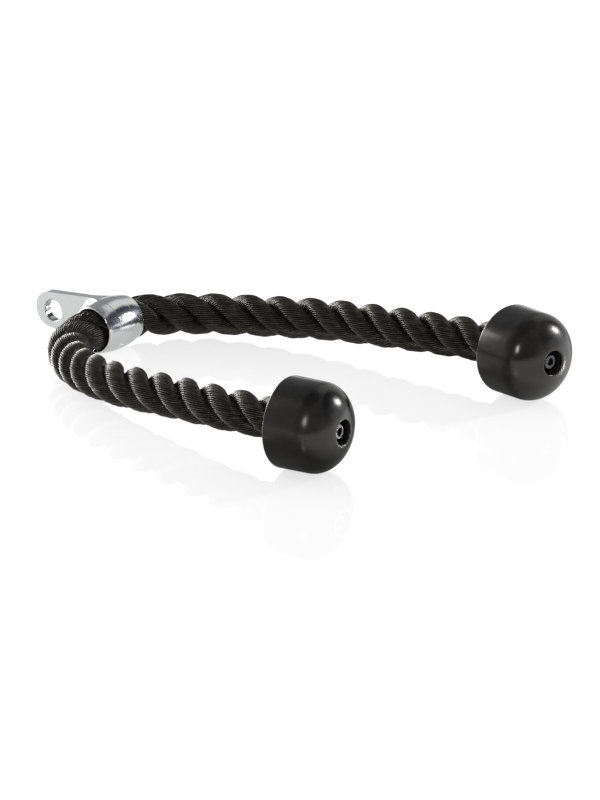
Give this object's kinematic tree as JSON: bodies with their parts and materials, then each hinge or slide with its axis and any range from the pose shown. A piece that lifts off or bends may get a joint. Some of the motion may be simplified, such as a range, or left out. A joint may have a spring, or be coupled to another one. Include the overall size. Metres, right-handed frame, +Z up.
{
  "type": "triceps rope attachment",
  "caption": "Gym cable attachment: a thick laid rope runs through a cast metal saddle with a hook eye and ends in moulded caps that stop the hands.",
  "frame": {"origin": "centre of the bounding box on the floor, with the rope lying on it as a U", "axes": "+X from the eye towards the rope's capped ends, +Y along the sleeve from the near arm to the far arm, +Z up from the floor"},
  "size_m": [0.3664, 0.258, 0.0609],
  "materials": {
    "polished_casting": "polished and plated casting",
    "black_nylon_rope": "laid nylon yarn with a soft sheen",
    "black_moulded_cap": "smooth and glossy",
    "dark_steel": "blackened"
  },
  "bodies": {
    "saddle": {"saddle_eye": "polished_casting"},
    "rope_core": {"core_strand_1": "black_nylon_rope", "core_strand_2": "black_nylon_rope", "core_strand_3": "black_nylon_rope", "near_flex_strand_1": "black_nylon_rope", "near_flex_strand_2": "black_nylon_rope", "near_flex_strand_3": "black_nylon_rope", "far_flex_strand_1": "black_nylon_rope", "far_flex_strand_2": "black_nylon_rope", "far_flex_strand_3": "black_nylon_rope"},
    "near_arm": {"near_arm_strand_1": "black_nylon_rope", "near_arm_strand_2": "black_nylon_rope", "near_arm_strand_3": "black_nylon_rope", "near_end_cap": "black_moulded_cap", "near_rope_ferrule": "dark_steel", "near_cap_screw": "dark_steel", "near_cap_washer": "dark_steel"},
    "far_arm": {"far_arm_strand_1": "black_nylon_rope", "far_arm_strand_2": "black_nylon_rope", "far_arm_strand_3": "black_nylon_rope", "far_end_cap": "black_moulded_cap", "far_rope_ferrule": "dark_steel", "far_cap_screw": "dark_steel", "far_cap_washer": "dark_steel"}
  },
  "joints": [
    {"name": "rope_swivel", "type": "hinge", "parent": "saddle", "child": "rope_core", "pos_m": [-0.1182, -0.0137, 0.0184], "axis": [0, 1, 0], "continuous": true},
    {"name": "near_arm_bend", "type": "hinge", "parent": "rope_core", "child": "near_arm", "pos_m": [-0.10997, -0.06475, 0.01617], "axis": [0, 0, 1], "range_deg": [-60, 14], "deforming": ["near_flex_strand_1", "near_flex_strand_2", "near_flex_strand_3"]},
    {"name": "far_arm_bend", "type": "hinge", "parent": "rope_core", "child": "far_arm", "pos_m": [-0.09924, 0.03425, 0.01675], "axis": [0, 0, 1], "range_deg": [-14, 60], "deforming": ["far_flex_strand_1", "far_flex_strand_2", "far_flex_strand_3"]}
  ]
}
